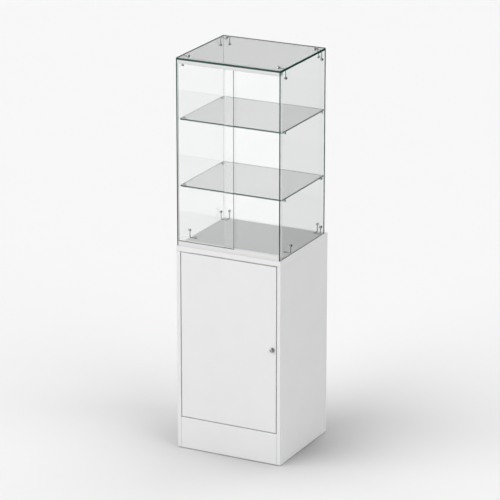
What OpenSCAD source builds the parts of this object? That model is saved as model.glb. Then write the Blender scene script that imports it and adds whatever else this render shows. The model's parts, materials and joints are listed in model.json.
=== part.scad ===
// Pedestal display case: a storage cabinet that carries a glass case with two sliding doors.
// Millimetres. The origin is the middle of the footprint, on the floor. Front is -Y, up is +Z.

/* [Cabinet] */
// Outside width of the cabinet
cab_w = 450; // [400:1:600]
// Outside depth of the cabinet
cab_d = 412; // [400:1:560]
// Height of the cabinet's top face above the floor
cab_h = 838; // [740:1:1000]
// Thickness of the side boards
side_t = 16; // [16:1:19]
// Thickness of the top board
top_t = 22; // [20:1:28]
// Thickness of the bottom board
bottom_t = 16; // [15:1:19]
// Height of the plinth board
plinth_h = 128; // [90:1:180]
// Thickness of the plinth board
plinth_t = 16; // [14:1:19]
// Thickness of the back board
back_t = 8; // [5:0.5:10]
// Depth of the grooves that hold the back board
groove_depth = 6; // [4:0.5:8]
// Distance from the rear edges of the boards to the back board
groove_inset = 12; // [8:1:24]
// Chamfer along the edges of the boards
board_ease = 0.6; // [0.2:0.1:1]
// Height of the glides under the side boards
glide_h = 3; // [2:0.5:6]
// Diameter of the glides
glide_d = 14; // [10:1:16]
// Distance from the front and rear edges to the glides
glide_in = 30; // [20:1:80]

/* [Cabinet door] */
// Thickness of the door
door_t = 16; // [15:0.5:19]
// Gap round the door
door_gap = 3.5; // [3:0.5:4]
// Distance from the hinge edge of the door to the pivot pins
pivot_in = 8; // [8:0.5:12]
// Distance from the front face of the door to the pivot pins
pivot_back = 6.5; // [5.5:0.5:7]
// Diameter of the pivot pins
pivot_pin_d = 5; // [4:0.5:5.5]
// How far each pin reaches into the door
pivot_reach = 14; // [10:1:20]
// Wall thickness of the door's bushes
bush_wall = 1.5; // [1:0.1:2]
// Length of the pivot plates
pivot_plate_l = 42; // [36:1:60]
// Width of the pivot plates
pivot_plate_w = 11; // [10:0.5:12]
// Thickness of the pivot plates
pivot_plate_t = 1.5; // [1:0.1:2]

/* [Lock] */
// Height of the lock above the floor
lock_z = 475.5; // [380:0.5:560]
// Distance from the closing edge of the door to the lock's axis
lock_in = 16.2; // [16:0.1:22]
// Diameter of the collar in front of the door
lock_collar_d = 20; // [18:0.5:26]
// Thickness of the collar
lock_collar_t = 2.5; // [1.5:0.1:4]
// Diameter of the lock's barrel
lock_barrel_d = 15; // [13:0.5:16]
// Diameter of the turning knob
lock_knob_d = 18; // [16:0.5:24]
// Length of the turning knob
lock_knob_l = 7.3; // [5:0.1:12]
// Diameter of the core that turns in the barrel
lock_core_d = 10; // [8:0.5:10.5]
// Reach of the cam from the lock's axis
cam_reach = 16.5; // [13:0.1:17]
// Width of the cam
cam_w = 11; // [9:0.5:13]
// Thickness of the cam and of the keeper
cam_t = 2; // [1.5:0.1:3]
// How far the keeper stands in from the side board
keeper_reach = 10; // [8:0.1:11]

/* [Storage shelf] */
// Height of the storage shelf above the bottom board
store_shelf_z = 290; // [200:1:300]
// Thickness of the storage shelf
store_shelf_t = 16; // [12:1:22]
// Distance from the cabinet's front to the storage shelf
store_shelf_in = 70; // [60:1:120]
// Pitch of the holes for the shelf pins
pin_pitch = 32; // [25:1:50]

/* [Board fittings] */
// Diameter of the dowels
dowel_d = 8; // [6:1:8]
// Length of the dowels
dowel_l = 30; // [25:1:35]
// Depth that fittings enter the face of a board
face_depth = 10.5; // [8:0.5:12]
// Diameter of the eccentric fittings
cam_fitting_d = 15; // [12:1:20]
// Depth of the eccentric fittings
cam_fitting_depth = 12; // [11:0.5:13]
// Distance from the joint to the middle of a fitting
cam_fitting_in = 24; // [20:1:34]
// Distance from the boards' front edges to the first fitting
fitting_in = 70; // [50:1:120]

/* [Glass case] */
// Height of the glass case above the cabinet
case_h = 748; // [640:1:900]
// Depth of the glass case
case_d = 390; // [370:1:400]
// Step from the cabinet's sides in to the glass
case_inset = 3.5; // [0:0.5:10]
// Thickness of the upright panes
pane_t = 5; // [4:0.5:8]
// Thickness of the top pane
top_glass_t = 8; // [5:0.5:12]
// Ground arris along the edges of the glass
arris = 0.4; // [0.2:0.1:0.8]
// Thickness of the deck panel
deck_t = 5; // [3:0.5:10]

/* [Glass shelves] */
// Thickness of the glass shelves
shelf_t = 6; // [4:0.5:8]
// Height of the lower shelf's underside above the cabinet
lower_shelf_z = 233; // [180:1:280]
// Height of the upper shelf's underside above the cabinet
upper_shelf_z = 499; // [400:1:560]
// Distance from the front of a shelf to its front studs
stud_front_in = 25; // [15:1:80]
// Distance from the rear of a shelf to its rear studs
stud_rear_in = 18; // [12:1:80]
// Diameter of the studs
stud_d = 8; // [6:0.5:10]
// Length of the studs
stud_l = 12; // [9:0.5:16]

/* [Sliding doors] */
// Depth of the tracks from front to back
track_w = 24; // [22:0.5:30]
// Height of the bottom track
low_track_h = 18; // [14:0.5:24]
// Height of the top track
top_track_h = 14; // [13:0.5:20]
// Width of each channel in the tracks
channel_w = 7; // [6.5:0.1:9]
// Depth of the channels in the bottom track
low_channel = 9; // [7:0.5:10]
// Depth of the channels in the top track
top_channel = 11; // [10.5:0.1:11.5]
// Thickness of the outer lips of the tracks
lip_t = 2.5; // [1.5:0.1:3]
// Thickness of the sliding doors
slide_t = 5; // [4:0.5:6]
// How far each sliding door reaches past the middle of the opening
slide_lap = 21; // [6:1:40]
// How far the sliding doors reach up into the top track
slide_hold = 8; // [5:0.5:9]

/* [Glass clips] */
// Thickness of the clips' straps
strap_t = 2; // [1.5:0.1:3]
// Width of the clips' straps
strap_w = 4; // [3:0.5:6]
// Diameter of the round ends of the clips
clip_eye_d = 9; // [8:0.5:14]
// Length of the threaded bosses at the clips' ends
clip_boss_l = 5; // [4:0.5:8]
// Distance from an upright pane to the clip's foot screw
clip_reach = 26; // [20:0.5:40]
// Distance from the clip's foot to the screw in the upright pane
clip_drop = 31; // [20:0.5:45]
// Distance from the glass front to the front clips under the top
top_clip_in = 47; // [40:1:90]
// Distance from the glass front to the front clips on the deck
base_clip_in = 96; // [50:1:140]
// Diameter of the clip screws
clip_screw_d = 4; // [3:0.5:5]
// Diameter of the screw heads on the upright panes
pane_head_d = 10.5; // [9:0.5:14]
// Diameter of the flat screw heads on the top pane
top_head_d = 14; // [12:0.5:20]

/* [Hidden] */
$fn = 48;

// Clearances
fit = 0.05;          // round pieces that turn or press in
loose = 0.3;         // pieces that stand side by side
cut = 1;             // how far a cutter runs past the face it opens

// Cabinet, worked out from the sizes above
half_w = cab_w / 2;
inner_x = half_w - side_t;
front_y = -cab_d / 2;
rear_y = cab_d / 2;
base_z = glide_h;
top_under_z = cab_h - top_t;
floor_z = base_z + plinth_h;
groove_y = rear_y - groove_inset - back_t;
door_x = inner_x - door_gap;
door_z0 = floor_z + door_gap;
door_z1 = top_under_z - door_gap;
door_rear_y = front_y + door_t;
pivot_x = -door_x + pivot_in;
pivot_y = front_y + pivot_back;
plate_end = 6.5;                     // from the pin to the near end of a pivot plate
plate_screws = [14, 28];             // from the pin to the two screws of a pivot plate
bush_r = pivot_pin_d / 2 + fit + bush_wall;
pin_end_gap = 0.5;                   // past the end of a pivot pin in its bush
bush_end_t = 1.5;                    // closed end of a bush
bush_l = pivot_reach + pin_end_gap + bush_end_t;
washer_play = 0.1;                   // between the washer and the door
washer_t = door_gap - pivot_plate_t - washer_play;

// Lock
lock_x = door_x - lock_in;
nut_t = 4;
nut_r = 10.5;
nut_clear = 1.5;                     // from the nut to the space of the cam and keeper
barrel_tail = cam_t + nut_clear;     // barrel behind the nut
turn_gap = 0.2;                      // between turning faces
keeper_gap = 0.8;                    // between the keeper and the turned cam
barrel_end_y = door_rear_y + nut_t + barrel_tail;
cam_y = barrel_end_y + turn_gap;
core_square = 6;                     // square end of the core that carries the cam
keeper_y = cam_y - keeper_gap - cam_t;
key_slot_w = 1.6;
key_slot_l = 8;
key_slot_depth = 4;
cam_screw_l = 6;                     // how far the cam's screw enters the core
cam_screw_head_t = 2;
keeper_l = 40;
keeper_w = 22;
keeper_screw_step = 12;              // from the lock's height to each keeper screw
keeper_screw_in = 13;                // from the keeper's front to its screws
stop_w = 12;
stop_l = 22;
stop_h = 22;
buffer_t = 2.5;
buffer_d = 8;
buffer_in = 7;                       // from the side board to the middle of a buffer
stop_z_in = 34;                      // from the door's ends to the middle of the stops
stop_z = [door_z0 + stop_z_in, door_z1 - stop_z_in];
stop_y = door_rear_y + loose + buffer_t;

// Storage shelf
store_z = floor_z + store_shelf_z;
shelf_side_gap = 1;                  // between a shelf and what stands beside it
store_x = inner_x - shelf_side_gap;
store_y0 = front_y + store_shelf_in;
store_y1 = groove_y - shelf_side_gap;
pin_d = 5;
pin_in = 10;
pin_out = 9;
pin_edge = 40;                       // from the shelf's edges to the pins

// Fittings between the boards
bolt_d = 6;
dowel_step = 32;
fit_rows = [front_y + fitting_in, groove_y - fitting_in];
dowel_rows = [front_y + fitting_in + dowel_step, groove_y - fitting_in - dowel_step];
plinth_dowel_in = 32;                // from the plinth's edge and from the bottom board
plinth_dowel_z = [base_z + plinth_dowel_in, floor_z - bottom_t - plinth_dowel_in];
nail_d = 2.5;
nail_l = 12;

// Glass case
case_x = half_w - case_inset;
pane_x = case_x - pane_t;
case_y0 = front_y;
case_y1 = front_y + case_d;
pane_y = case_y1 - pane_t;
case_z1 = cab_h + case_h;
under_z = case_z1 - top_glass_t;
deck_z = cab_h + deck_t;
behind_track_y = case_y0 + track_w + loose;
channel_y = [case_y0 + lip_t + channel_w / 2, case_y0 + track_w - lip_t - channel_w / 2];
slide_rise = 0.5;                    // between a sliding door and its channel's floor
slide_z0 = cab_h + low_track_h - low_channel + slide_rise;
slide_z1 = under_z - top_track_h + slide_hold;
slide_end = 0.5;                     // left between a closed door and the pane
slide_w = pane_x - slide_end + slide_lap;
shelf_door_gap = 1.5;                // from the rear sliding door to the shelves
shelf_y0 = channel_y[1] + slide_t / 2 + shelf_door_gap;
shelf_y1 = pane_y - shelf_side_gap;
track_screw_in = 65;                 // from the panes to the outer track screws
track_screw_x = pane_x - track_screw_in;

// Studs
stud_flat_cut = 1;                   // how much of a stud is cut off for the shelf to lie on
stud_rim = 1;                        // how far its disc stands out round the stud
stud_disc_t = 1.5;

// Clips
foot_x = pane_x - clip_reach;
rear_foot_y = pane_y - clip_reach;
top_foot_y = case_y0 + top_clip_in;
base_foot_y = case_y0 + base_clip_in;
screw_r = clip_screw_d / 2;
glass_hole_r = screw_r + 1;
washer_ring_t = 0.8;
pane_head_rim = 1;                   // straight side of a pane screw's head
pane_head_dome = 1.4;                // height of the dome on it
pane_head_top = 0.6;                 // flat top of the dome, as a share of the head
top_head_rim = 0.7;                  // straight side of a flat head on the top pane
top_head_bevel = 0.7;                // height of the bevel on it
top_washer_in = 1;                   // from the flat head's rim to its washer's
foot_head_t = 2;
foot_head_in = 0.5;                  // from a foot's rim to the screw head on it
anchor_l = 13;                       // how far screws enter the boards

// Wood screws of the pivot plates, the keeper and the track
wood_screw_r = 1.5;
wood_head_r = 3;
screw_way_r = 1.75;
pan_head_t = 1.5;

white = [0.92, 0.92, 0.91];
glass_tint = [0.78, 0.9, 0.86, 0.35];
metal = [0.75, 0.75, 0.76];
nylon = [0.85, 0.85, 0.83];
timber = [0.78, 0.63, 0.43];

// ---- general helpers ----

// A rectangle from corner a to corner b whose corners are cut off by e
module cut_rect(a, b, e) {
    polygon([[a.x + e, a.y], [b.x - e, a.y], [b.x, a.y + e], [b.x, b.y - e],
        [b.x - e, b.y], [a.x + e, b.y], [a.x, b.y - e], [a.x, a.y + e]]);
}

// A board or pane between two corners, with a chamfer e along all twelve edges
module eased_box(a, b, e) {
    intersection() {
        translate([0, 0, a.z])
            linear_extrude(b.z - a.z) cut_rect([a.x, a.y], [b.x, b.y], e);
        translate([0, b.y, 0])
            rotate([90, 0, 0])
                linear_extrude(b.y - a.y) cut_rect([a.x, a.z], [b.x, b.z], e);
        translate([a.x, 0, 0])
            rotate([90, 0, 90])
                linear_extrude(b.x - a.x) cut_rect([a.y, a.z], [b.y, b.z], e);
    }
}

// A plain box between two corners
module box(a, b) {
    translate(a) cube(b - a);
}

// Its children on the right, and again mirrored on the left
module both_sides() {
    children();
    mirror([1, 0, 0]) children();
}

// Its children as they are, or mirrored when wanted
module mirror_if(wanted, v) {
    if (wanted) mirror(v) children();
    else children();
}

// A rod along X from x0 to x1
module rod_x(r, x0, x1) {
    translate([x0, 0, 0]) rotate([0, 90, 0]) cylinder(r = r, h = x1 - x0);
}

// A rod along Y from y0 to y1
module rod_y(r, y0, y1) {
    translate([0, y0, 0]) rotate([-90, 0, 0]) cylinder(r = r, h = y1 - y0);
}

// A countersunk wood screw that points down, its flat head level with z = 0
module flat_screw(l) {
    head_h = wood_head_r - wood_screw_r;
    translate([0, 0, -l]) cylinder(r = wood_screw_r - fit, h = l - head_h / 2);
    translate([0, 0, -head_h])
        cylinder(r1 = wood_screw_r - fit, r2 = wood_head_r - fit, h = head_h);
}

// The way for such a screw through a piece that is t thick, whose face is z = 0
module flat_screw_way(t) {
    head_h = wood_head_r - screw_way_r;
    translate([0, 0, -t - cut]) cylinder(r = screw_way_r, h = t + 2 * cut);
    translate([0, 0, -head_h])
        cylinder(r1 = screw_way_r + fit, r2 = wood_head_r + fit, h = head_h);
}

// ---- where the hidden fittings of the right-hand joints lie ----

// Middle of the side board's thickness, at the joint with the top board
module at_top_joints(rows) {
    for (y = rows)
        translate([inner_x + side_t / 2, y, top_under_z]) children();
}

// Face of the side board, at the middle of the bottom board's thickness
module at_bottom_joints(rows) {
    for (y = rows)
        translate([inner_x, y, floor_z - bottom_t / 2]) children();
}

// Face of the side board, at the middle of the plinth's thickness
module at_plinth_joints() {
    for (z = plinth_dowel_z)
        translate([inner_x, front_y + plinth_t / 2, z]) children();
}

// A dowel's space, up into the top board
module top_dowel(r) {
    translate([0, 0, face_depth - dowel_l]) cylinder(r = r, h = dowel_l);
}

// A dowel's space, out into the side board
module side_dowel(r) {
    rod_x(r, face_depth - dowel_l, face_depth);
}

// Holes in the right side board: fittings, shelf pins, plinth dowels and glide nails
module side_board_holes() {
    at_top_joints(dowel_rows) top_dowel(dowel_d / 2 + fit);
    at_top_joints(fit_rows) {
        translate([0, 0, -cam_fitting_in]) cylinder(r = bolt_d / 2 + fit, h = cam_fitting_in + cut);
        translate([-side_t / 2, 0, -cam_fitting_in])
            rod_x(cam_fitting_d / 2 + fit, -cut, cam_fitting_depth + fit);
    }
    at_bottom_joints(dowel_rows) side_dowel(dowel_d / 2 + fit);
    at_bottom_joints(fit_rows) rod_x(bolt_d / 2 + fit, -cut, face_depth);
    at_plinth_joints() side_dowel(dowel_d / 2 + fit);
    at_shelf_pins([-1, 0, 1]) rod_x(pin_d / 2 + fit, -cut, pin_in);
    at_glides() cylinder(r = nail_d / 2, h = nail_l);
}

// Places of the shelf pins on the right side board, with rows of spare holes above and below
module at_shelf_pins(steps) {
    for (y = [store_y0 + pin_edge, store_y1 - pin_edge], k = steps)
        translate([inner_x, y, store_z - pin_d / 2 + k * pin_pitch]) children();
}

// Places of the glides under the right side board
module at_glides() {
    for (y = [front_y + glide_in, rear_y - glide_in])
        translate([inner_x + side_t / 2, y, base_z]) children();
}

// Places of the keeper's screws on the right side board
module at_keeper_screws() {
    for (z = [-keeper_screw_step, keeper_screw_step])
        translate([inner_x, keeper_y + keeper_screw_in, lock_z + z]) children();
}

// ---- cabinet boards ----

// The right side board, without the holes for the keeper
module side_board() {
    difference() {
        eased_box([inner_x, front_y, base_z], [half_w, rear_y, top_under_z], board_ease);
        box([inner_x - cut, groove_y - fit, base_z - cut],
            [inner_x + groove_depth, groove_y + back_t + fit, top_under_z + cut]);
        side_board_holes();
    }
}

module right_side_panel() {
    color(white) difference() {
        side_board();
        at_keeper_screws() rod_x(wood_screw_r, -cut, anchor_l);
    }
}

module left_side_panel() {
    color(white) mirror([1, 0, 0]) side_board();
}

module top_board() {
    color(white) difference() {
        eased_box([-half_w, front_y, top_under_z], [half_w, rear_y, cab_h], board_ease);
        box([-inner_x - groove_depth, groove_y - fit, top_under_z - cut],
            [inner_x + groove_depth, groove_y + back_t + fit, top_under_z + groove_depth]);
        both_sides() {
            at_top_joints(dowel_rows) top_dowel(dowel_d / 2 + fit);
            at_top_joints(fit_rows) cylinder(r = bolt_d / 2 + fit, h = face_depth);
        }
        at_pivot_screws(top_under_z) cylinder(r = wood_screw_r, h = anchor_l);
        at_base_feet() translate([0, 0, -anchor_l]) cylinder(r = screw_r, h = anchor_l + cut);
        at_track_screws() translate([0, 0, -anchor_l]) cylinder(r = wood_screw_r, h = anchor_l + cut);
    }
}

module bottom_board() {
    color(white) difference() {
        eased_box([-inner_x, front_y + plinth_t, floor_z - bottom_t],
            [inner_x, groove_y, floor_z], board_ease);
        both_sides() {
            at_bottom_joints(dowel_rows) side_dowel(dowel_d / 2 + fit);
            at_bottom_joints(fit_rows) {
                rod_x(bolt_d / 2 + fit, -cam_fitting_in, cut);
                translate([-cam_fitting_in, 0, -bottom_t / 2 - cut])
                    cylinder(r = cam_fitting_d / 2 + fit, h = cam_fitting_depth + fit + cut);
            }
        }
    }
}

module plinth_board() {
    color(white) difference() {
        eased_box([-inner_x, front_y, base_z], [inner_x, front_y + plinth_t, floor_z], board_ease);
        both_sides() at_plinth_joints() side_dowel(dowel_d / 2 + fit);
        at_pivot_screws(floor_z - anchor_l) cylinder(r = wood_screw_r, h = anchor_l + cut);
    }
}

module back_panel() {
    color(white)
        box([-inner_x - groove_depth + loose, groove_y, base_z],
            [inner_x + groove_depth - loose, groove_y + back_t, top_under_z + groove_depth - loose]);
}

module cabinet_shelf() {
    color(white)
        eased_box([-store_x, store_y0, store_z], [store_x, store_y1, store_z + store_shelf_t],
            board_ease);
}

module cabinet_shelf_pins() {
    color(metal) both_sides() at_shelf_pins([0]) rod_x(pin_d / 2, -pin_out, pin_in - fit);
}

// ---- fittings that hold the boards together ----

module carcass_dowels() {
    color(timber) both_sides() {
        at_top_joints(dowel_rows) top_dowel(dowel_d / 2);
        at_bottom_joints(dowel_rows) side_dowel(dowel_d / 2);
        at_plinth_joints() side_dowel(dowel_d / 2);
    }
}

// An eccentric fitting along +Z with its cross slot, and its bolt's mouth at a height
module cam_fitting(mouth_z) {
    slot_l = 6;
    slot_w = 1.6;
    slot_h = 2;
    difference() {
        cylinder(r = cam_fitting_d / 2, h = cam_fitting_depth);
        translate([0, 0, mouth_z]) rod_x(bolt_d / 2 + fit, -fit, cam_fitting_d);
        for (turn = [0, 90])
            rotate([0, 0, turn])
                box([-slot_l / 2, -slot_w / 2, -cut], [slot_l / 2, slot_w / 2, slot_h]);
    }
}

module cam_fittings() {
    color(metal) both_sides() {
        at_top_joints(fit_rows)
            translate([-side_t / 2, 0, -cam_fitting_in])
                rotate([0, 90, 0]) rotate([0, 0, 180]) cam_fitting(side_t / 2);
        at_bottom_joints(fit_rows)
            translate([-cam_fitting_in, 0, -bottom_t / 2]) cam_fitting(bottom_t / 2);
    }
}

module cam_bolts() {
    color(metal) both_sides() {
        at_top_joints(fit_rows)
            translate([0, 0, -cam_fitting_in]) cylinder(r = bolt_d / 2, h = cam_fitting_in + face_depth);
        at_bottom_joints(fit_rows) rod_x(bolt_d / 2, -cam_fitting_in, face_depth);
    }
}

module floor_glides() {
    color(nylon) both_sides() at_glides() {
        cylinder(r = nail_d / 2 - fit, h = nail_l - fit);
        translate([0, 0, -glide_h]) cylinder(r = glide_d / 2, h = glide_h);
    }
}

// ---- cabinet door and its pivots ----

// The pivot axis at a height
module at_pivot(z) {
    translate([pivot_x, pivot_y, z]) children();
}

// The two screws of a pivot plate at a height
module at_pivot_screws(z) {
    for (x = plate_screws) at_pivot(z) translate([x, 0, 0]) children();
}

module cabinet_door() {
    color(white) difference() {
        eased_box([-door_x, front_y, door_z0], [door_x, door_rear_y, door_z1], board_ease);
        at_pivot(door_z0 - cut) cylinder(r = bush_r + fit, h = bush_l + cut);
        at_pivot(door_z1 - bush_l) cylinder(r = bush_r + fit, h = bush_l + cut);
        translate([lock_x, 0, lock_z])
            rod_y(lock_barrel_d / 2 + fit, front_y - cut, door_rear_y + cut);
    }
}

// A bush that stands on z = 0 with its mouth down
module door_bush() {
    difference() {
        cylinder(r = bush_r, h = bush_l);
        translate([0, 0, -cut]) cylinder(r = pivot_pin_d / 2 + fit, h = bush_l - bush_end_t + cut);
    }
}

module door_bushes() {
    color(nylon) {
        at_pivot(door_z0) door_bush();
        at_pivot(door_z1) mirror([0, 0, 1]) door_bush();
    }
}

// A pivot plate that lies on z = 0 with its pin up, drilled for two countersunk screws
module pivot_plate() {
    difference() {
        box([-plate_end, -pivot_plate_w / 2, 0],
            [pivot_plate_l - plate_end, pivot_plate_w / 2, pivot_plate_t]);
        for (x = plate_screws) translate([x, 0, pivot_plate_t]) flat_screw_way(pivot_plate_t);
    }
    cylinder(r = pivot_pin_d / 2, h = door_gap + pivot_reach);
}

module lower_pivot_plate() {
    color(metal) at_pivot(floor_z) pivot_plate();
}

module upper_pivot_plate() {
    color(metal) at_pivot(top_under_z) mirror([0, 0, 1]) pivot_plate();
}

module pivot_plate_screws() {
    color(metal) {
        at_pivot_screws(floor_z + pivot_plate_t) flat_screw(anchor_l);
        at_pivot_screws(top_under_z - pivot_plate_t) mirror([0, 0, 1]) flat_screw(anchor_l);
    }
}

module pivot_washer() {
    color(nylon) at_pivot(floor_z + pivot_plate_t) difference() {
        cylinder(r = bush_r, h = washer_t);
        translate([0, 0, -cut]) cylinder(r = pivot_pin_d / 2 + fit, h = washer_t + 2 * cut);
    }
}

// ---- lock ----

// Its children at the lock's place in x and z
module at_lock() {
    translate([lock_x, 0, lock_z]) children();
}

module lock_housing() {
    color(metal) at_lock() difference() {
        union() {
            rod_y(lock_collar_d / 2, front_y - lock_collar_t, front_y);
            rod_y(lock_barrel_d / 2, front_y - lock_collar_t, barrel_end_y);
        }
        rod_y(lock_core_d / 2 + fit, front_y - lock_collar_t - cut, barrel_end_y + cut);
    }
}

module lock_nut() {
    color(metal) at_lock() difference() {
        translate([0, door_rear_y, 0]) rotate([-90, 0, 0]) cylinder(r = nut_r, h = nut_t, $fn = 6);
        rod_y(lock_barrel_d / 2 + fit, door_rear_y - cut, door_rear_y + nut_t + cut);
    }
}

// Knob, key slot, core and square end in one turning piece
module lock_knob() {
    knob_rear = front_y - lock_collar_t - turn_gap;
    knob_front = knob_rear - lock_knob_l;
    round_edge = 1.6;
    color(metal) at_lock() difference() {
        union() {
            translate([0, knob_rear, 0]) rotate([90, 0, 0]) rotate_extrude() {
                square([lock_knob_d / 2, lock_knob_l - round_edge]);
                square([lock_knob_d / 2 - round_edge, lock_knob_l]);
                translate([lock_knob_d / 2 - round_edge, lock_knob_l - round_edge])
                    circle(r = round_edge);
            }
            rod_y(lock_core_d / 2, knob_rear - cut, barrel_end_y + turn_gap);
            box([-core_square / 2, barrel_end_y, -core_square / 2],
                [core_square / 2, cam_y + cam_t - turn_gap, core_square / 2]);
        }
        box([-key_slot_w / 2, knob_front - cut, -key_slot_l / 2],
            [key_slot_w / 2, knob_front + key_slot_depth, key_slot_l / 2]);
        rod_y(wood_screw_r + fit, cam_y - cam_screw_l, cam_y + cam_t + cut);
    }
}

// The cam hangs down when the door is free to open
module lock_cam() {
    tip = cam_reach - cam_w / 2;
    color(metal) at_lock() difference() {
        union() {
            translate([0, 0, -tip]) rod_y(cam_w / 2, cam_y, cam_y + cam_t);
            box([-cam_w / 2, cam_y, -tip], [cam_w / 2, cam_y + cam_t, core_square]);
        }
        box([-core_square / 2 - fit, cam_y - cut, -core_square / 2 - fit],
            [core_square / 2 + fit, cam_y + cam_t + cut, core_square / 2 + fit]);
    }
}

module lock_cam_screw() {
    color(metal) at_lock() {
        rod_y(wood_screw_r, cam_y - cam_screw_l + fit, cam_y + cam_t);
        rod_y(core_square * 0.75, cam_y + cam_t, cam_y + cam_t + cam_screw_head_t);
    }
}

module lock_keeper() {
    color(metal) difference() {
        union() {
            box([inner_x - cam_t, keeper_y, lock_z - keeper_l / 2],
                [inner_x, keeper_y + keeper_w, lock_z + keeper_l / 2]);
            box([inner_x - keeper_reach, keeper_y, lock_z - keeper_l / 2],
                [inner_x, keeper_y + cam_t, lock_z + keeper_l / 2]);
        }
        at_keeper_screws() rod_x(screw_way_r, -cam_t - cut, cut);
    }
}

module keeper_screws() {
    color(metal) at_keeper_screws() {
        rod_x(wood_screw_r - fit, -cam_t, anchor_l - fit);
        rod_x(wood_head_r, -cam_t - pan_head_t, -cam_t);
    }
}

module door_stops() {
    color(nylon) for (z = stop_z)
        eased_box([inner_x - stop_w, stop_y, z - stop_h / 2],
            [inner_x, stop_y + stop_l, z + stop_h / 2], board_ease);
}

module stop_buffers() {
    color("dimgray") for (z = stop_z)
        translate([inner_x - buffer_in, 0, z]) rod_y(buffer_d / 2, stop_y - buffer_t, stop_y);
}

// ---- glass case ----

module right_pane() {
    color(glass_tint) difference() {
        eased_box([pane_x, case_y0, cab_h], [case_x, pane_y, under_z], arris);
        for (rear = [false, true], high = [false, true])
            at_foot(true, rear, high) at_arm_end()
                rod_x(glass_hole_r, -cut, pane_t + cut);
    }
}

module right_side_glass() {
    right_pane();
}

module left_side_glass() {
    mirror([1, 0, 0]) right_pane();
}

module back_glass() {
    color(glass_tint) difference() {
        eased_box([-case_x, pane_y, cab_h], [case_x, case_y1, under_z], arris);
        for (right = [false, true], high = [false, true])
            at_foot(right, true, high) rotate([0, 0, 90]) at_arm_end()
                rod_x(glass_hole_r, -cut, pane_t + cut);
    }
}

module top_glass() {
    color(glass_tint) difference() {
        eased_box([-case_x, case_y0, under_z], [case_x, case_y1, case_z1], arris);
        at_top_feet() translate([0, 0, -top_glass_t - cut])
            cylinder(r = glass_hole_r, h = top_glass_t + 2 * cut);
    }
}

module glass_shelf(z) {
    color(glass_tint)
        eased_box([-pane_x + shelf_side_gap, shelf_y0, cab_h + z],
            [pane_x - shelf_side_gap, shelf_y1, cab_h + z + shelf_t], arris);
}

module upper_glass_shelf() {
    glass_shelf(upper_shelf_z);
}

module lower_glass_shelf() {
    glass_shelf(lower_shelf_z);
}

module deck_panel() {
    color([0.6, 0.6, 0.6]) difference() {
        eased_box([-pane_x + loose, behind_track_y, cab_h], [pane_x - loose, pane_y - loose, deck_z],
            arris);
        at_base_feet() translate([0, 0, -cut]) cylinder(r = screw_r + fit, h = deck_t + 2 * cut);
    }
}

// ---- sliding doors and their tracks ----

// Both channels, cut from z to z + depth
module channels(z, depth) {
    for (y = channel_y)
        box([-pane_x - cut, y - channel_w / 2, z], [pane_x + cut, y + channel_w / 2, z + depth]);
}

// Places of the screws in the rear channel's floor, at the level of the top board
module at_track_screws() {
    for (x = [-track_screw_x, 0, track_screw_x])
        translate([x, channel_y[1], cab_h]) children();
}

module bottom_track() {
    floor_h = low_track_h - low_channel;
    color(white) difference() {
        box([-pane_x, case_y0, cab_h], [pane_x, case_y0 + track_w, cab_h + low_track_h]);
        channels(cab_h + floor_h, low_channel + cut);
        at_track_screws() translate([0, 0, floor_h]) flat_screw_way(floor_h);
    }
}

module top_track() {
    color(white) difference() {
        box([-pane_x, case_y0, under_z - top_track_h], [pane_x, case_y0 + track_w, under_z]);
        channels(under_z - top_track_h - cut, top_channel + cut);
    }
}

module track_screws() {
    floor_h = low_track_h - low_channel;
    color(metal) at_track_screws()
        translate([0, 0, floor_h]) flat_screw(floor_h + anchor_l - fit);
}

// A sliding door in a channel, from x to x + slide_w
module sliding_door(x, channel) {
    y = channel_y[channel];
    color(glass_tint)
        eased_box([x, y - slide_t / 2, slide_z0], [x + slide_w, y + slide_t / 2, slide_z1], arris);
}

module left_sliding_door() {
    sliding_door(-pane_x + slide_end, 0);
}

module right_sliding_door() {
    sliding_door(pane_x - slide_end - slide_w, 1);
}

// ---- glass clips ----

// The foot of a clip: z = 0 is the face it stands on, +x points to the nearer side pane
module at_foot(right, rear, high) {
    y = rear ? rear_foot_y : high ? top_foot_y : base_foot_y;
    mirror_if(!right, [1, 0, 0])
        translate([foot_x, y, high ? under_z : deck_z])
            mirror_if(high, [0, 0, 1]) children();
}

// The end of a clip's arm: x = 0 is the inner face of the upright pane
module at_arm_end() {
    translate([clip_reach, 0, clip_drop]) children();
}

// Each clip's arms: one to the side pane, and in the rear corners one to the back pane
module at_arms() {
    for (right = [false, true], rear = [false, true], high = [false, true])
        at_foot(right, rear, high) {
            at_arm_end() children();
            if (rear) rotate([0, 0, 90]) at_arm_end() children();
        }
}

// The feet under the top pane, at the level of its top face
module at_top_feet() {
    for (right = [false, true], rear = [false, true])
        at_foot(right, rear, true) translate([0, 0, -top_glass_t]) mirror([0, 0, 1]) children();
}

// The feet on the deck, at the level of the cabinet's top
module at_base_feet() {
    for (right = [false, true], rear = [false, true])
        at_foot(right, rear, false) translate([0, 0, -deck_t]) children();
}

// An arm runs along the foot's face, turns along the upright pane and ends in a boss
module clip_arm() {
    box([0, -strap_w / 2, 0], [clip_reach, strap_w / 2, strap_t]);
    box([clip_reach - strap_t, -strap_w / 2, 0], [clip_reach, strap_w / 2, clip_drop]);
    at_arm_end() rod_x(clip_eye_d / 2, -clip_boss_l, 0);
}

// The bore for an arm's screw
module arm_bore() {
    at_arm_end() rod_x(screw_r + fit, -clip_boss_l - cut, cut);
}

module clip(rear) {
    color(metal) difference() {
        union() {
            cylinder(r = clip_eye_d / 2, h = clip_boss_l);
            clip_arm();
            if (rear) rotate([0, 0, 90]) clip_arm();
        }
        translate([0, 0, -cut]) cylinder(r = screw_r + fit, h = clip_boss_l + 2 * cut);
        arm_bore();
        if (rear) rotate([0, 0, 90]) arm_bore();
    }
}

module front_left_top_clip() {
    at_foot(false, false, true) clip(false);
}

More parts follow.
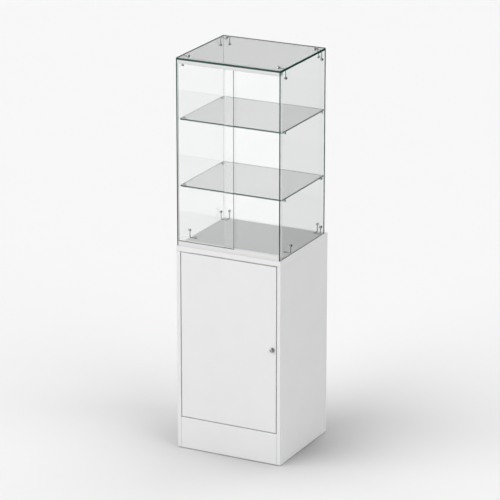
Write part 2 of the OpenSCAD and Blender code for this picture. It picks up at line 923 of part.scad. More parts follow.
module front_right_top_clip() {
    at_foot(true, false, true) clip(false);
}

module rear_left_top_clip() {
    at_foot(false, true, true) clip(true);
}

module rear_right_top_clip() {
    at_foot(true, true, true) clip(true);
}

module front_left_base_clip() {
    at_foot(false, false, false) clip(false);
}

module front_right_base_clip() {
    at_foot(true, false, false) clip(false);
}

module rear_left_base_clip() {
    at_foot(false, true, false) clip(true);
}

module rear_right_base_clip() {
    at_foot(true, true, false) clip(true);
}

// Screws through the upright panes, with domed heads outside
module pane_screws() {
    head_x = pane_t + washer_ring_t;
    color(metal) at_arms() {
        rod_x(screw_r, -clip_boss_l, head_x);
        translate([head_x, 0, 0]) rotate([0, 90, 0]) {
            cylinder(r = pane_head_d / 2, h = pane_head_rim);
            translate([0, 0, pane_head_rim])
                cylinder(r1 = pane_head_d / 2, r2 = pane_head_top * pane_head_d / 2, h = pane_head_dome);
        }
    }
}

module pane_washers() {
    color(nylon) {
        at_arms() difference() {
            rod_x(pane_head_d / 2, pane_t, pane_t + washer_ring_t);
            rod_x(screw_r + fit, pane_t - cut, pane_t + washer_ring_t + cut);
        }
        at_top_feet() difference() {
            cylinder(r = top_head_d / 2 - top_washer_in, h = washer_ring_t);
            translate([0, 0, -cut]) cylinder(r = screw_r + fit, h = washer_ring_t + 2 * cut);
        }
    }
}

// Flat-headed screws through the top pane
module top_foot_screws() {
    color(metal) at_top_feet() {
        translate([0, 0, -top_glass_t - clip_boss_l])
            cylinder(r = screw_r, h = top_glass_t + clip_boss_l + washer_ring_t);
        translate([0, 0, washer_ring_t]) {
            cylinder(r = top_head_d / 2, h = top_head_rim);
            translate([0, 0, top_head_rim])
                cylinder(r1 = top_head_d / 2, r2 = top_head_d / 2 - top_head_bevel, h = top_head_bevel);
        }
    }
}

// Screws through the deck clips and the deck into the cabinet's top
module base_foot_screws() {
    stack = deck_t + clip_boss_l;
    color(metal) at_base_feet() {
        translate([0, 0, -anchor_l + fit]) cylinder(r = screw_r - fit, h = anchor_l + stack);
        translate([0, 0, stack]) cylinder(r = clip_eye_d / 2 - foot_head_in, h = foot_head_t);
    }
}

// ---- shelf studs ----

// Four studs on the side panes, with a flat on which the shelf lies
module shelf_studs(z) {
    flat = stud_d / 2 - stud_flat_cut;
    disc_r = stud_d / 2 + stud_rim;
    color(metal) both_sides()
        for (y = [shelf_y0 + stud_front_in, shelf_y1 - stud_rear_in])
            translate([pane_x, y, cab_h + z - flat]) difference() {
                union() {
                    rod_x(stud_d / 2, -stud_l, 0);
                    rod_x(disc_r, -stud_disc_t, 0);
                }
                box([-stud_l - cut, -disc_r - cut, flat], [cut, disc_r + cut, disc_r + cut]);
            }
}

module upper_shelf_studs() {
    shelf_studs(upper_shelf_z);
}

module lower_shelf_studs() {
    shelf_studs(lower_shelf_z);
}

left_side_panel();
right_side_panel();
top_board();
bottom_board();
plinth_board();
back_panel();
cabinet_shelf();
cabinet_shelf_pins();
carcass_dowels();
cam_fittings();
cam_bolts();
floor_glides();
cabinet_door();
upper_pivot_plate();
lower_pivot_plate();
pivot_plate_screws();
door_bushes();
pivot_washer();
lock_housing();
lock_nut();
lock_knob();
lock_cam();
lock_cam_screw();
lock_keeper();
keeper_screws();
door_stops();
stop_buffers();
left_side_glass();
right_side_glass();
back_glass();
top_glass();
upper_glass_shelf();
lower_glass_shelf();
deck_panel();
bottom_track();
top_track();
track_screws();
left_sliding_door();
right_sliding_door();
front_left_top_clip();
front_right_top_clip();
rear_left_top_clip();
rear_right_top_clip();
front_left_base_clip();
front_right_base_clip();
rear_left_base_clip();
rear_right_base_clip();
pane_screws();
pane_washers();
top_foot_screws();
base_foot_screws();
upper_shelf_studs();
lower_shelf_studs();
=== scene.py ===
# %% [markdown]
# # A pedestal display case
# A white storage cabinet carries a glass case with two shelves and two sliding glass doors.
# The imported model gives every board, pane and fitting its place. This script keeps the hidden
# fittings as they come, makes the pieces that show again with finer shapes, and gives every
# piece its finish. Front is -Y, right is +X and up is +Z.

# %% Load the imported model
import json
import bmesh
import bpy
import numpy as np
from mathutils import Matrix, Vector
from mathutils.geometry import tessellate_polygon


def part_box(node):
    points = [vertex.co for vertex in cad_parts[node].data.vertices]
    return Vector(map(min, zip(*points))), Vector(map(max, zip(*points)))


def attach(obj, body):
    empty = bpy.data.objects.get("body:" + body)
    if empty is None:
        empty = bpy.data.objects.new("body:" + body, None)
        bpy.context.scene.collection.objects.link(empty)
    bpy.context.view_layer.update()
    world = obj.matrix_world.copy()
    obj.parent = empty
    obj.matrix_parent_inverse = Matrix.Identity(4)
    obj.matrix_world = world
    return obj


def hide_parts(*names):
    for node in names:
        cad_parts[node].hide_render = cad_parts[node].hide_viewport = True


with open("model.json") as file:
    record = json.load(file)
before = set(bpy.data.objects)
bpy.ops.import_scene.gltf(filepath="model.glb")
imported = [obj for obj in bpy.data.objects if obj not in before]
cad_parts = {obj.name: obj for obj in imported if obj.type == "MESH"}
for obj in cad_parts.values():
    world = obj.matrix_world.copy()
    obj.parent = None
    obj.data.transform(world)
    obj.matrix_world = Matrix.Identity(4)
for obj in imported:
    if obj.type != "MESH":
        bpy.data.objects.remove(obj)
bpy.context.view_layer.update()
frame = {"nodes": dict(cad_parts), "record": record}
nodes = frame["nodes"]

# %% [markdown]
# ## Surfaces from numbers
# Sheet metal, glass and turned parts are all simple sweeps: an outline is carried along a line,
# round an axis or along a bent path. Each helper below works out a whole grid of points at once
# with numpy. A Patchwork collects such grids in millimetres, and at the end it welds them, turns
# their faces outwards and makes one object at the origin, in metres.

# %% Grids of points and the faces between them
def grid_faces(rows, cols):
    """Quads between row i and row i + 1 and column j and j + 1 of a grid of points, with the
    last column joined to the first one."""
    i, j = np.meshgrid(np.arange(rows - 1), np.arange(cols), indexing="ij")
    k = (j + 1) % cols
    quads = [i * cols + j, i * cols + k, (i + 1) * cols + k, (i + 1) * cols + j]
    return np.stack(quads, axis=-1).reshape(-1, 4)


def placed(points, origin, along):
    """Local points moved into place: origin + x * along[0] + y * along[1] + z * along[2]."""
    return np.asarray(origin, float) + np.asarray(points, float) @ np.asarray(along, float)


print("a grid of 3 by 4 points has", len(grid_faces(3, 4)), "faces")

# %% A patchwork of grids
MM = 0.001
WELD = 0.0005                    # millimetres between points that become one
SHARP_FROM = np.radians(40)      # edges that turn by more than this stay sharp


class Patchwork:
    """The patches of one piece: points in millimetres, faces, material numbers and shading."""

    def __init__(self):
        self.points, self.faces, self.materials, self.smooth = [], [], [], []
        self.count = 0

    def add(self, points, faces, material=0, smooth=True):
        """Points and faces, with one material number for all the faces or one for each."""
        points = np.asarray(points, float).reshape(-1, 3)
        faces = np.asarray(faces, int)
        self.points.append(points)
        self.faces.append(faces + self.count)
        self.materials.append(np.broadcast_to(material, len(faces)))
        self.smooth.append(np.full(len(faces), smooth))
        self.count += len(points)

    def sweep(self, rings, material=0):
        """A skin over rings of points, shape (rings, points, 3), each ring closed. The material
        is one number, or one for each face round the ring."""
        rings = np.asarray(rings, float)
        if np.ndim(material):
            material = np.tile(material, len(rings) - 1)
        self.add(rings, grid_faces(*rings.shape[:2]), material)

    def lid(self, ring, holes=(), material=0):
        """A flat face inside a closed ring, with a hole for each further ring."""
        loops = [np.asarray(ring, float)] + [np.asarray(h, float) for h in holes]
        if holes:
            faces = tessellate_polygon([[Vector(p) for p in loop] for loop in loops])
        else:
            faces = [np.arange(len(ring))]
        self.add(np.concatenate(loops), faces, material, smooth=False)

    def shut(self, rings):
        """A skin over rings of points, with a lid on the first ring and on the last one."""
        self.sweep(rings)
        self.lid(rings[0])
        self.lid(rings[-1])

    def build(self, name, materials, body, stands_for):
        """One welded mesh object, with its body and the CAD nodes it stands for."""
        mesh = bpy.data.meshes.new(name)
        points = np.concatenate(self.points) * MM
        totals = np.concatenate([np.full(len(f), f.shape[1]) for f in self.faces])
        mesh.vertices.add(len(points))
        mesh.vertices.foreach_set("co", points.ravel())
        mesh.loops.add(int(totals.sum()))
        mesh.loops.foreach_set("vertex_index", np.concatenate([f.ravel() for f in self.faces]))
        mesh.polygons.add(len(totals))
        mesh.polygons.foreach_set("loop_start", np.concatenate([[0], np.cumsum(totals)[:-1]]))
        mesh.polygons.foreach_set("material_index", np.concatenate(self.materials))
        mesh.polygons.foreach_set("use_smooth", np.concatenate(self.smooth))
        mesh.update(calc_edges=True)
        shell = bmesh.new()
        shell.from_mesh(mesh)
        bmesh.ops.remove_doubles(shell, verts=shell.verts, dist=WELD * MM)
        bmesh.ops.recalc_face_normals(shell, faces=shell.faces)
        shell.to_mesh(mesh)
        shell.free()
        mesh.set_sharp_from_angle(angle=SHARP_FROM)
        for material in materials:
            mesh.materials.append(material)
        piece = bpy.data.objects.new(name, mesh)
        bpy.context.scene.collection.objects.link(piece)
        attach(piece, body)
        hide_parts(*stands_for)
        print(name, len(mesh.vertices), "points", len(mesh.polygons), "faces")
        return piece


# %% Outlines
CORNER_STEPS = 3                 # steps round the corner of a rectangle


def rounded_rectangle(low, high, radius):
    """A rectangle whose corners are quarter circles: corner centre + radius * (cos a, sin a).
    The corner at high u and high v comes first, then the one at low u and high v, and so on
    round."""
    (u0, v0), (u1, v1) = low, high
    a = np.arange(4)[:, None] * np.pi / 2 + np.linspace(0, np.pi / 2, CORNER_STEPS + 1)
    u = np.array([u1 - radius, u0 + radius, u0 + radius, u1 - radius])[:, None]
    v = np.array([v1 - radius, v1 - radius, v0 + radius, v0 + radius])[:, None]
    return np.stack([u + radius * np.cos(a), v + radius * np.sin(a)], axis=-1).reshape(-1, 2)


def circle(radius, count=48, centre=(0, 0)):
    """Points round a circle: centre + radius * (cos a, sin a)."""
    a = 2 * np.pi * np.arange(count) / count
    return np.stack([centre[0] + radius * np.cos(a), centre[1] + radius * np.sin(a)], axis=-1)


def hexagon(across, count=48):
    """Points round a hexagon: the distance from its middle is (across / 2) / cos(angle from
    the nearest flat's middle)."""
    a = 2 * np.pi * np.arange(count) / count
    r = across / 2 / np.cos((a + np.pi / 6) % (np.pi / 3) - np.pi / 6)
    return np.stack([r * np.cos(a), r * np.sin(a)], axis=-1)


def softened(corners, radii, steps):
    """A polygon whose corners are rounded: each corner becomes an arc that touches both of its
    sides, with its centre on the bisector, radius / sin(half the corner's angle) away."""
    p = np.asarray(corners, float)
    r = np.asarray(radii, float)[:, None]
    back, ahead = np.roll(p, 1, axis=0) - p, np.roll(p, -1, axis=0) - p
    back /= np.linalg.norm(back, axis=1, keepdims=True)
    ahead /= np.linalg.norm(ahead, axis=1, keepdims=True)
    middle = back + ahead
    middle /= np.linalg.norm(middle, axis=1, keepdims=True)
    half = np.arccos(np.clip((back * middle).sum(axis=1, keepdims=True), -1, 1))
    centre = p + middle * r / np.sin(half)
    start, end = p + back * r / np.tan(half) - centre, p + ahead * r / np.tan(half) - centre
    turn = np.pi - 2 * half
    s = np.linspace(0, 1, steps + 1)
    arcs = (start[:, None] * np.sin((1 - s)[:, None] * turn[:, None])
            + end[:, None] * np.sin(s[:, None] * turn[:, None])) / np.sin(turn)[:, None]
    return (centre[:, None] + arcs).reshape(-1, 2)


def at_height(outline, z):
    """A flat outline as a ring of points at height z."""
    return np.column_stack([outline, np.full(len(outline), z)])


def stack(profile, count=48):
    """The rings of a turned shape, one for each (radius, height) pair of its profile:
    x = r cos a, y = r sin a, z = h."""
    return [at_height(circle(r, count), h) for r, h in profile]


print("outlines ready, with", len(circle(1)), "points round a turned piece")

# %% Slabs with ground edges
BORE_SIDES = 32                  # points round a drilled hole


def slab(work, low, high, axis, arris, corner, holes=(), rims=(1, 1, 1, 1), bore=1, band=None):
    """A pane between two corners: its outline goes across the thickness, drawn in by the arris
    at both faces. Each hole is (u, v, radius) through it. The four rims, at high u, high v,
    low u and low v, each have their own material, and the holes have another. A band is
    (height, material) for the part of both faces that lies below that v."""
    u, v = [k for k in range(3) if k != axis]
    n = CORNER_STEPS + 1
    inward = arris * np.array([1, 0, 0, 1])
    across = [low[axis], low[axis] + arris, high[axis] - arris, high[axis]]

    def ring(outline, w):
        points = np.empty((len(outline), 3))
        points[:, u], points[:, v], points[:, axis] = outline[:, 0], outline[:, 1], w
        return points

    def outline(i):
        """The rim, and with a band two more points, where the band ends at low and high u."""
        points = rounded_rectangle((low[u] + i, low[v] + i), (high[u] - i, high[v] - i), corner - i)
        if band:
            ends = [(low[u] + i, band[0]), (high[u] - i, band[0])]
            points = np.insert(points, [2 * n, 4 * n], ends, 0)
        return points

    rings = [ring(outline(i), w) for i, w in zip(inward, across)]
    bores = [[ring(circle(r + i, BORE_SIDES, (x, y)), w) for i, w in zip(inward, across)]
             for x, y, r in holes]
    work.sweep(rings, np.roll(np.repeat(rims, [n, n, n + 1, n + 1] if band else n), -1))
    for b in bores:
        work.sweep(b, bore)
    for end in (0, -1):
        if band:
            work.lid(rings[end][2 * n:4 * n + 2], material=band[1])
            work.lid(np.roll(rings[end], 1, axis=0)[:2 * n + 2])
        else:
            work.lid(rings[end], [b[end] for b in bores])


print("slabs ready, with", CORNER_STEPS + 1, "points in each corner")

# %% Drawn sections with screw holes
SCREW_HOLE_SIDES = 24            # points round a screw hole


def drawn(work, outline, x0, x1, holes=()):
    """A section in Y and Z carried along X, like plastic drawn through a die. Each hole is a
    countersunk screw hole (x, y, head radius, bore radius), down through the section's flat
    strips: the strips that it meets are cut out and made again as lids with round openings.
    All the holes stand in one row, at the same y."""
    ends = np.array([np.column_stack([np.full(len(outline), x), outline]) for x in (x0, x1)])
    after = np.roll(ends, -1, axis=1)
    row_y = holes[0][1] if holes else np.inf
    flat = np.isclose(ends[0, :, 2], after[0, :, 2])
    met = flat & ((ends[0, :, 1] - row_y) * (after[0, :, 1] - row_y) < 0)
    levels = np.sort(ends[0, met, 2])

    def opening(hole, radius, z):
        return at_height(circle(radius, SCREW_HOLE_SIDES, hole[:2]), z)

    work.add(ends, grid_faces(2, len(outline))[~met])
    for k in np.flatnonzero(met):
        z = ends[0, k, 2]
        strip = [ends[0, k], after[0, k], after[1, k], ends[1, k]]
        work.lid(strip, [opening(hole, hole[2] if z == levels[-1] else hole[3], z)
                         for hole in holes])
    for hole in holes:
        (low, high), (head_r, bore_r) = levels, hole[2:]
        steps = [(head_r, high), (bore_r, high - (head_r - bore_r)), (bore_r, low)]
        work.sweep([opening(hole, r, z) for r, z in steps])
    for ring in ends:
        work.add(ring, tessellate_polygon([[Vector(p) for p in ring]]), smooth=False)


print("drawn sections ready")

# %% [markdown]
# ## Finishes
# A finish is a small web of nodes. All patterns read Object coordinates, in metres, so that they
# have their real scale and stay on the piece when it moves. The helper below adds a node, sets
# its options and fills its sockets in one call.

# %% A helper for finishes
class Finish:
    """A material, or the world, under construction."""

    def __init__(self, name, tree=None):
        if tree is None:
            self.material = bpy.data.materials.new(name)
            self.material.use_nodes = True
            tree = self.material.node_tree
        tree.nodes.clear()
        self.tree = tree

    def add(self, kind, sockets=None, **options):
        """One node. Each named socket gets a value, or a link from another node's output."""
        node = self.tree.nodes.new("ShaderNode" + kind)
        for key, value in options.items():
            setattr(node, key, value)
        for key, value in (sockets or {}).items():
            if isinstance(value, bpy.types.NodeSocket):
                self.tree.links.new(value, node.inputs[key])
            else:
                node.inputs[key].default_value = value
        return node

    def math(self, operation, *values):
        """A sum on one to three values."""
        return self.add("Math", dict(enumerate(values)), operation=operation).outputs[0]

    def blend(self, share, first, second):
        """A number between two numbers: the first at share 0, the second at share 1."""
        return self.add("Mix", {0: share, 2: first, 3: second}, data_type="FLOAT").outputs[0]

    def scaled(self, colour, share):
        """A colour made darker, to a share of itself."""
        return self.add("VectorMath", {0: colour, "Scale": share}, operation="SCALE").outputs[0]

    def grain(self, scale, stretch=(1, 1, 1)):
        """Noise from 0 to 1 with that many patches a metre, stretched along the axes."""
        place = self.add("TexCoord").outputs["Object"]
        place = self.add("Mapping", {"Vector": place, "Scale": stretch}).outputs["Vector"]
        noise = self.add("TexNoise", {"Vector": place, "Scale": scale, "Detail": 2.0})
        return noise.outputs["Fac"]

    def spread(self, value, low, high, start=0.3, end=0.7):
        """A value from start to end, brought to the range from low to high."""
        sockets = {0: value, 1: start, 2: end, 3: low, 4: high}
        return self.add("MapRange", sockets).outputs[0]

    def shade(self, value, first, second):
        """A colour between two colours."""
        mix = self.add("Mix", {0: self.spread(value, 0, 1), 6: (*first, 1), 7: (*second, 1)},
                       data_type="RGBA")
        return mix.outputs[2]

    def relief(self, height, depth):
        """A gentle bump from a height pattern, depth metres deep."""
        bump = self.add("Bump", {"Strength": 0.3, "Distance": depth, "Height": height})
        return bump.outputs["Normal"]

    def painted_joint_shade(self, tone, left):
        """A painted shade for the joints between boards: a tone brought down to the share left on
        narrow faces about 45 degrees from Y, where the size of the normal's Y is about 0.707, the
        cosine of 45 degrees."""
        normal = self.add("TexCoord").outputs["Normal"]
        steep = self.math("ABSOLUTE", self.add("SeparateXYZ", {0: normal}).outputs[1])
        cosine, give = 0.707, 0.2
        slanted = self.math("COMPARE", steep, cosine, give)
        return self.scaled(tone, self.spread(slanted, 1.0, left, 0, 1))

    def done(self, shader):
        self.add("OutputMaterial", {"Surface": shader})
        return self.material


def plain_finish(name, first, second, patches, rough, fine, depth, stretch=(1, 1, 1), arris=None,
                 **extra):
    """A finish whose colour drifts between two tones, with so many patches a metre, whose
    roughness drifts with it, and whose surface has a relief with so many fine patches a metre,
    depth metres deep. The arris is the share of the tone that is left on the front and back
    arrises, as a painted shade for the joints between boards. Extra values go straight to the
    shader's own sockets."""
    f = Finish(name)
    drift = f.grain(patches, stretch)
    tone = f.shade(drift, first, second)
    # painted shade on the front and back arrises, for the joints between boards
    if arris:
        tone = f.painted_joint_shade(tone, arris)
    sockets = {"Base Color": tone,
               "Roughness": f.spread(drift, *rough),
               "Normal": f.relief(f.grain(fine, stretch), depth)}
    sockets.update({key.replace("_", " "): value for key, value in extra.items()})
    return f.done(f.add("BsdfPrincipled", sockets).outputs[0])


print("finish helper ready")

# %% [markdown]
# ### Boards, plastic and metal
# The boards are chipboard with a white melamine face: nearly even, with a fine pearl that only
# shows as a soft gloss. A thin grey line is painted on their front and back arrises, as painted
# shade for the joints between the boards. The slant of the surface's own normal finds them.
# Drawn plastic has faint lines along its length. Chrome is a smooth metal with a little haze, and
# the hidden fittings are zinc plated, which is duller and blotchy.

# %% The finishes
# The laminate's arris share paints shade into the joints between the boards.
LAMINATE = plain_finish("white_laminate", (0.834, 0.835, 0.842), (0.849, 0.85, 0.857), 9,
                        (0.40, 0.47), 700, 0.00004, arris=0.6)
TRACK = plain_finish("drawn_white_plastic", (0.745, 0.745, 0.74), (0.775, 0.775, 0.77), 160,
                     (0.30, 0.38), 900, 0.00005, stretch=(0.02, 1, 1))
CHROME = plain_finish("polished_chrome", (0.33, 0.34, 0.35), (0.41, 0.41, 0.42), 90,
                      (0.06, 0.14), 900, 0.000005, Metallic=1.0)
SATIN_CHROME = plain_finish("satin_chrome", (0.80, 0.80, 0.80), (0.86, 0.86, 0.86), 90,
                            (0.30, 0.38), 900, 0.000005, Metallic=1.0)
ZINC = plain_finish("zinc_plate", (0.52, 0.53, 0.55), (0.66, 0.66, 0.66), 120,
                    (0.28, 0.42), 1500, 0.00003, Metallic=1.0)
NYLON = plain_finish("moulded_nylon", (0.80, 0.80, 0.78), (0.85, 0.85, 0.83), 60,
                     (0.45, 0.55), 1800, 0.00004)
BEECH = plain_finish("beech_dowel", (0.66, 0.47, 0.28), (0.78, 0.60, 0.40), 500,
                     (0.6, 0.75), 1500, 0.0001)
RUBBER = plain_finish("buffer_rubber", (0.018, 0.018, 0.018), (0.03, 0.03, 0.03), 300,
                      (0.7, 0.85), 2500, 0.00005)
DECK = plain_finish("matt_grey_laminate", (0.465, 0.465, 0.465), (0.495, 0.495, 0.495), 700,
                    (0.5, 0.6), 1200, 0.00005)
print("plain finishes ready")

# %% [markdown]
# ### Glass
# Clear glass lets the lamps through, but a renderer that follows bent light finds no lamp behind
# it, and the shelves inside would stand in the dark. So rays that come from lamps or from matt
# surfaces pass the panes straight, with a little loss, while the camera sees real glass. The two
# side panes get a darker tint than the rest, which is painted shade. The ground edges look dark
# green, because there one looks along the pane through much more glass. The pale, grey and half
# lit edge finishes are painted light and painted shade, put on single rims, bores and a band.

# %% The glass and its edges
def clear_glass(name, first, second):
    """Bent light for the camera and for mirrors, and a straight way through for the rest."""
    f = Finish(name)
    tint = f.shade(f.grain(3), first, second)
    glass = f.add("BsdfPrincipled", {"Base Color": tint, "Roughness": 0.0, "IOR": 1.5,
                                     "Transmission Weight": 1.0}).outputs[0]
    straight = f.add("BsdfTransparent", {"Color": (0.975, 0.98, 0.978, 1)}).outputs[0]
    path = f.add("LightPath").outputs
    for_lamps = f.add("MixShader", {0: path["Is Shadow Ray"], 1: glass, 2: straight}).outputs[0]
    return f.done(f.add("MixShader", {0: path["Is Diffuse Ray"], 1: for_lamps,
                                      2: straight}).outputs[0])


def glass_edge(name, first, second):
    """A ground edge between two tones, with a dull gloss."""
    return plain_finish(name, first, second, 25, (0.12, 0.2), 900, 0.00003,
                        Specular_IOR_Level=0.25)


GLASS = clear_glass("clear_glass", (0.990, 0.997, 0.994), (0.995, 1.0, 0.998))
# painted shade: the two side panes get a darker tint than the rest
SHADED_SIDE_GLASS = clear_glass("side_glass", (0.935, 0.945, 0.941), (0.94, 0.948, 0.945))
EDGES = [glass_edge("ground_glass_edge", (0.010, 0.055, 0.038), (0.020, 0.075, 0.055)),
         glass_edge("lit_glass_edge", (0.80, 0.86, 0.84), (0.85, 0.90, 0.88)),
         glass_edge("shaded_glass_edge", (0.16, 0.19, 0.18), (0.20, 0.23, 0.22)),
         glass_edge("half_lit_glass_edge", (0.52, 0.57, 0.55), (0.57, 0.61, 0.59))]
# The lit, shaded and half lit edges are painted light and painted shade.
GREEN, LIT_EDGE, SHADED_EDGE, HALF_LIT_EDGE = 1, 2, 3, 4      # their numbers on a pane, whose glass is number 0
print("2 kinds of glass and", len(EDGES), "edge finishes ready")

# %% [markdown]
# ## Finishes for the pieces that stay as packed
# Boards and hidden fittings have their right shape already, so they only get their finish.

# %% Dress the CAD nodes
slot_finish = {"white_board": LAMINATE, "track_plastic": TRACK, "chrome": CHROME, "steel": ZINC,
               "nylon": NYLON, "dowel_wood": BEECH, "buffer_rubber": RUBBER, "grey_deck": DECK,
               "glass": GLASS}
for subpart in frame["record"]["subparts"]:
    mesh = nodes[subpart["node"]].data
    mesh.materials.clear()
    mesh.materials.append(slot_finish[subpart["material_slot"]])

# %% [markdown]
# ## The glass panes
# Each pane is a slab with a flat ground arris all round and drilled holes for the clip screws.
# The big faces get the clear glass and the narrow faces and bores get an edge finish.

# %% Where the clips stand, in millimetres
FOOT_X = 190.5                   # the feet, left and right of the middle
REAR_FOOT_Y = 153.0              # the rear feet
TOP_FOOT_Y = -159.0              # the front feet under the top pane
BASE_FOOT_Y = -110.0             # the front feet on the deck
UNDER_TOP = 1578.0               # the top pane's lower face
TOP_PANE_T = 8.0                 # its thickness
DECK_TOP = 843.0                 # the deck's upper face
REACH = 26.0                     # from a foot's middle to the upright pane
DROP = 31.0                      # from a foot's face to the middle of the arm's end
ARM_END = FOOT_X + REACH         # the side panes' inner faces
print("the side panes' inner faces are at x", -ARM_END, "and", ARM_END)

# %% Cut the panes
BORE = 3.0                       # the radius of the drilled holes
ARRIS = 0.4
PANE_CORNER = ARRIS + 0.2        # the radius of a pane's four corners
TRACK_TOP = 856.0                # the lower track's lips
# Painted shade: below this height the left door's faces get the shaded edge finish, a grey band
# standing in for the shade in the track's channel.
SHADE_BAND_TOP = TRACK_TOP + 1.6       # a grey line shows on the left door up to here

side_bores = [(TOP_FOOT_Y, UNDER_TOP - DROP, BORE), (REAR_FOOT_Y, UNDER_TOP - DROP, BORE),
              (BASE_FOOT_Y, DECK_TOP + DROP, BORE), (REAR_FOOT_Y, DECK_TOP + DROP, BORE)]
back_bores = [(x, z, BORE) for x in (-FOOT_X, FOOT_X) for z in (UNDER_TOP - DROP, DECK_TOP + DROP)]
top_bores = [(x, y, BORE) for x in (-FOOT_X, FOOT_X) for y in (TOP_FOOT_Y, REAR_FOOT_Y)]


def box_mm(node):
    """Lowest and highest corner of a CAD node at rest, in millimetres."""
    low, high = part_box(node)
    return np.array(low) / MM, np.array(high) / MM


def pane(node, name, axis, body="case", clear=GLASS, **options):
    """A ground and polished pane in the place of a CAD node."""
    work = Patchwork()
    slab(work, *box_mm(node), axis, ARRIS, PANE_CORNER, **options)
    return work.build(name, [clear] + EDGES, body, [node])


# The lit, shaded and half lit rims and bores are painted light and painted shade.
pane("left_side_glass", "left_side_pane", 0, clear=SHADED_SIDE_GLASS, holes=side_bores,
     rims=(HALF_LIT_EDGE, GREEN, GREEN, GREEN), bore=HALF_LIT_EDGE)
pane("right_side_glass", "right_side_pane", 0, clear=SHADED_SIDE_GLASS, holes=side_bores)
pane("back_glass", "back_pane", 1, holes=back_bores, rims=(GREEN, GREEN, LIT_EDGE, GREEN), bore=LIT_EDGE)
pane("top_glass", "top_pane", 2, holes=top_bores)
pane("upper_glass_shelf", "upper_shelf_pane", 2)
pane("lower_glass_shelf", "lower_shelf_pane", 2)
# Painted shade on the left door's right end and along its foot; painted light on both ends of the
# right door.
pane("left_sliding_door", "left_door_pane", 1, "left_glass_door",
     rims=(SHADED_EDGE, GREEN, GREEN, GREEN), band=(SHADE_BAND_TOP, SHADED_EDGE))
pane("right_sliding_door", "right_door_pane", 1, "right_glass_door",
     rims=(LIT_EDGE, GREEN, LIT_EDGE, GREEN))

# %% [markdown]
# ## The door tracks
# A track is one white plastic section, drawn through a die: two channels between three lips. Its
# outline is drawn in Y and Z, every corner is softened a little, and it is carried along X. The
# lower track has three countersunk screw holes in its rear channel's floor.

# %% Draw the tracks
LIP_T = 2.5                      # the outer lips' thickness
CHANNEL_W = 7.0


def track_outline(low, high, floor, open_z):
    """The section between two corners: the channels go from the open side to the floor."""
    inner = LIP_T + CHANNEL_W
    y = np.array([low[1], low[1] + LIP_T, low[1] + inner, high[1] - inner, high[1] - LIP_T,
                  high[1]])
    shut_z = low[2] if open_z == high[2] else high[2]
    corners = [(y[0], shut_z), (y[5], shut_z), (y[5], open_z), (y[4], open_z), (y[4], floor),
               (y[3], floor), (y[3], open_z), (y[2], open_z), (y[2], floor), (y[1], floor),
               (y[1], open_z), (y[0], open_z)]
    base_r, lip_r, floor_r = [0.4] * 2, [0.9] * 2, [0.6] * 2
    return softened(corners, base_r + (lip_r + floor_r) * 2 + lip_r, steps=3)


def track(node, name, floor, opens_up, holes=()):
    """A track in the place of a CAD node: its section, carried from end to end."""
    low, high = box_mm(node)
    work = Patchwork()
    outline = track_outline(low, high, floor, high[2] if opens_up else low[2])
    drawn(work, outline, low[0], high[0], holes=holes)
    return work.build(name, [TRACK], "case", [node])


screw_y, screw_head_r, screw_bore_r = -188.0, 3.05, 1.75
screw_holes = [(x, screw_y, screw_head_r, screw_bore_r) for x in (-151.5, 0.0, 151.5)]
track("bottom_track", "bottom_door_track", floor=847, opens_up=True, holes=screw_holes)
track("top_track", "top_door_track", floor=1575, opens_up=False)

# %% [markdown]
# ## The clips
# A clip is a bent steel strap with a threaded boss at each end, all chromed. The strap is a small
# rounded rectangle carried along a path: along the foot's face, round a tight bend and along the
# upright pane. In the rear corners a second arm goes to the back pane.

# %% Straps and bosses
STRAP_T = 2.0
STRAP_W = 4.0
STRAP_R = 0.6                    # the rounding of the strap's own edges
BEND_R = 3.5
BEND_POINTS = 8
LAP = 2.5                        # the strap starts and ends this far from the bosses' middles
EYE_R = 4.5
BOSS_L = 5.0
BEVEL = 0.6
X_AXIS, Y_AXIS, Z_AXIS = np.eye(3)


def strap(work, place):
    """The section (u, v) is carried along a path in local X and Z: point = path + u * normal,
    with v across it. The bend is a quarter circle."""
    a = np.linspace(0, np.pi / 2, BEND_POINTS)
    middle = STRAP_T / 2
    turn_x, turn_z = REACH - middle - BEND_R, middle + BEND_R
    bend = np.stack([turn_x + BEND_R * np.sin(a), turn_z - BEND_R * np.cos(a)], 1)
    path = np.concatenate([[(LAP, middle)], bend, [(REACH - middle, DROP - LAP)]])
    normal = np.concatenate([[(0, 1)], np.stack([-np.sin(a), np.cos(a)], 1), [(-1, 0)]])
    section = rounded_rectangle((-middle, -STRAP_W / 2), (middle, STRAP_W / 2), STRAP_R)
    rings = np.zeros((len(path), len(section), 3))
    rings[:, :, [0, 2]] = path[:, None] + section[None, :, :1] * normal[:, None]
    rings[:, :, 1] = section[None, :, 1]
    work.shut(place(rings))


def boss(work, place):
    """A short round boss with eased rims, turned round its own axis."""
    profile = [(EYE_R - BEVEL, 0), (EYE_R, BEVEL * 0.6), (EYE_R, BOSS_L - BEVEL),
               (EYE_R - 0.2 * BEVEL, BOSS_L - 0.4 * BEVEL), (EYE_R - BEVEL, BOSS_L)]
    work.shut(place(np.array(stack(profile, count=32))))


print("a boss is", 2 * EYE_R, "mm across and", BOSS_L, "mm long")

# %% Shape the eight clips
def foot_place(side, rear, high):
    """The foot's place: z = 0 is the face it stands on, +x points to the nearer side pane."""
    y = REAR_FOOT_Y if rear else TOP_FOOT_Y if high else BASE_FOOT_Y
    origin = (side * FOOT_X, y, UNDER_TOP if high else DECK_TOP)
    up = -Z_AXIS if high else Z_AXIS
    return origin, np.array([side * X_AXIS, Y_AXIS, up])


def arm_turns(rear):
    """One arm goes to the side pane. A rear clip has one more, a quarter turn further round."""
    quarter = np.array([Y_AXIS, -X_AXIS, Z_AXIS])
    return [np.eye(3), quarter] if rear else [np.eye(3)]


